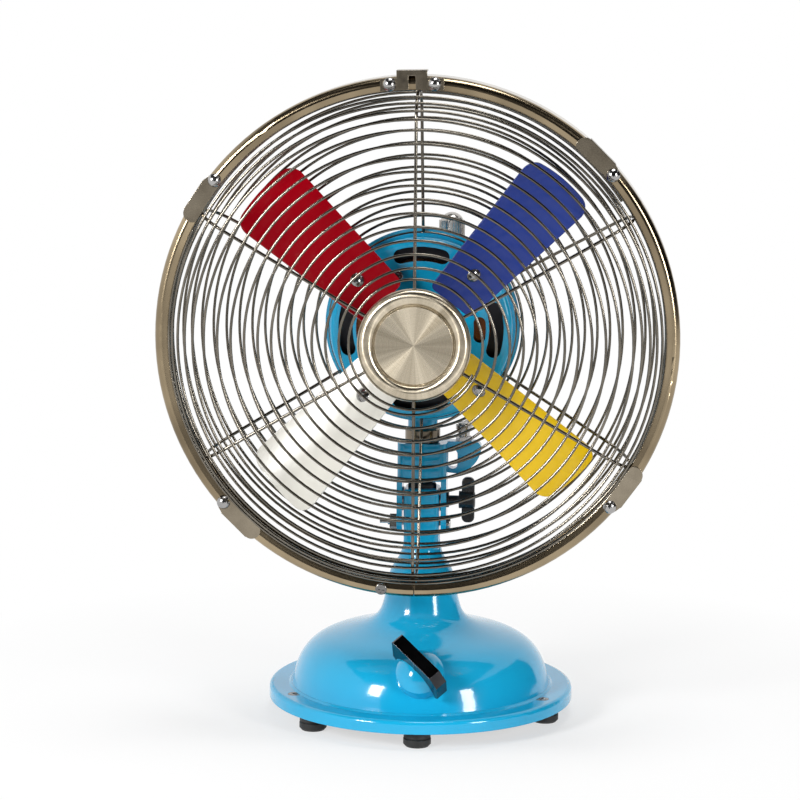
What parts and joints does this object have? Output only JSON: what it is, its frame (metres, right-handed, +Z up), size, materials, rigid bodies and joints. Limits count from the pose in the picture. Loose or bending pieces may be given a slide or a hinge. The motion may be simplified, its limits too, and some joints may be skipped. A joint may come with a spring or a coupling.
{
  "type": "oscillating table fan",
  "caption": "Caged table fan with blades, motor, tilting yoke and oscillating linkage on a round domed base with rubber feet and a speed knob.",
  "frame": {"origin": "on the table under the column's axis", "axes": "+Z up; the fan blows towards -Y; +X is to the right when facing the fan"},
  "size_m": [0.37, 0.2349, 0.4822],
  "materials": {
    "body_paint": "gloss",
    "antique_brass": "satin, aged",
    "steel": "bright",
    "dark_steel": "satin",
    "black_rubber": "matt",
    "black_plastic": "satin",
    "black_nickel": "polished, dark",
    "red_paint": "gloss",
    "blue_paint": "gloss",
    "yellow_paint": "gloss",
    "white_paint": "gloss",
    "copper": "varnished",
    "bronze": "satin",
    "nylon": "satin",
    "aluminium": "satin"
  },
  "bodies": {
    "base": {"base_shell": "body_paint", "bottom_cover": "dark_steel", "rubber_feet": "black_rubber", "foot_screws": "steel", "flange_screws": "steel", "cord_grommet": "black_rubber", "capacitor": "black_plastic", "capacitor_strap": "dark_steel", "switch_body": "black_plastic", "switch_screws": "steel"},
    "knob": {"speed_knob": "black_nickel", "switch_shaft": "steel"},
    "tilt_yoke": {"yoke": "body_paint", "tilt_washers": "steel", "stop_bolt": "steel", "stop_nut": "steel", "arm_pin": "steel"},
    "wing": {"wing_knob": "black_plastic"},
    "head": {"swivel_post": "steel", "swivel_collar": "antique_brass", "motor_front_cover": "body_paint", "motor_cover_screws": "steel", "motor_rear_housing": "body_paint", "stator_core": "dark_steel", "stator_windings": "copper", "front_bearing": "bronze", "rear_bearing": "bronze", "front_guard": "antique_brass", "rear_guard": "antique_brass", "rim_band": "antique_brass", "rim_screw": "steel", "badge": "antique_brass", "badge_backplate": "antique_brass", "badge_screw": "steel", "top_bracket": "antique_brass", "bracket_rivets": "steel", "clip_rivets": "steel", "gear_case": "body_paint", "gear_case_lid": "body_paint", "gear_lid_screws": "steel", "crank_bush": "bronze"},
    "rotor": {"motor_shaft": "steel", "rotor_core": "dark_steel", "blade_hub": "dark_steel", "blade_blue": "blue_paint", "blade_red": "red_paint", "blade_white": "white_paint", "blade_yellow": "yellow_paint", "blade_rivets": "steel", "shaft_nut": "steel", "worm": "steel"},
    "wheel": {"worm_wheel": "nylon"},
    "crank_arm": {"crank": "steel"},
    "clutch": {"clutch_stem": "steel", "clutch_knob": "aluminium"},
    "link": {"link_bar": "steel"},
    "clip_1": {"guard_clip_1": "antique_brass"},
    "clip_2": {"guard_clip_2": "antique_brass"},
    "clip_3": {"guard_clip_3": "antique_brass"},
    "clip_4": {"guard_clip_4": "antique_brass"}
  },
  "joints": [
    {"name": "tilt", "type": "hinge", "parent": "base", "child": "tilt_yoke", "pos_m": [0, 0, 0.161], "axis": [1, 0, 0], "range_deg": [-25, 8]},
    {"name": "wing_turn", "type": "hinge", "parent": "tilt_yoke", "child": "wing", "pos_m": [0.03, 0, 0.161], "axis": [1, 0, 0], "range_deg": [0, 180]},
    {"name": "swivel", "type": "hinge", "parent": "tilt_yoke", "child": "head", "pos_m": [0, 0, 0.2], "axis": [0, 0, 1], "range_deg": [-35, 35]},
    {"name": "fan_spin", "type": "hinge", "parent": "head", "child": "rotor", "pos_m": [0, -0.02, 0.293], "axis": [0, -1, 0], "continuous": true},
    {"name": "wheel_spin", "type": "hinge", "parent": "head", "child": "wheel", "pos_m": [0.018, 0.042, 0.293], "axis": [0, 0, 1], "continuous": true},
    {"name": "crank_turn", "type": "hinge", "parent": "head", "child": "crank_arm", "pos_m": [0.018, 0.042, 0.221], "axis": [0, 0, 1], "range_deg": [-52.5, 52.5]},
    {"name": "link_turn", "type": "hinge", "parent": "tilt_yoke", "child": "link", "pos_m": [0.03, 0.008, 0.2143], "axis": [0, 0, 1], "range_deg": [-39.1, 39.1]},
    {"name": "clutch_lift", "type": "slide", "parent": "crank_arm", "child": "clutch", "axis": [0, 0, 1], "range_m": [0, 0.006]},
    {"name": "clip_turn_1", "type": "hinge", "parent": "head", "child": "clip_1", "pos_m": [0.13585, -0.0958, 0.41109], "axis": [0, 1, 0], "range_deg": [0, 40]},
    {"name": "clip_turn_2", "type": "hinge", "parent": "head", "child": "clip_2", "pos_m": [-0.14184, -0.0958, 0.40382], "axis": [0, 1, 0], "range_deg": [0, 40]},
    {"name": "clip_turn_3", "type": "hinge", "parent": "head", "child": "clip_3", "pos_m": [-0.13585, -0.0958, 0.17491], "axis": [0, 1, 0], "range_deg": [0, 40]},
    {"name": "clip_turn_4", "type": "hinge", "parent": "head", "child": "clip_4", "pos_m": [0.13789, -0.0958, 0.1773], "axis": [0, 1, 0], "range_deg": [0, 40]},
    {"name": "knob_turn", "type": "hinge", "parent": "base", "child": "knob", "pos_m": [0.0045, -0.085, 0.049], "axis": [0, -0.766, 0.6428], "range_deg": [-135, 0]}
  ],
  "couplings": [
    {"joint": "wheel_spin", "follows": "fan_spin", "ratio": -0.038462},
    {"joint": "crank_turn", "follows": "swivel", "ratio": -1.5},
    {"joint": "link_turn", "follows": "swivel", "ratio": 1.116}
  ]
}
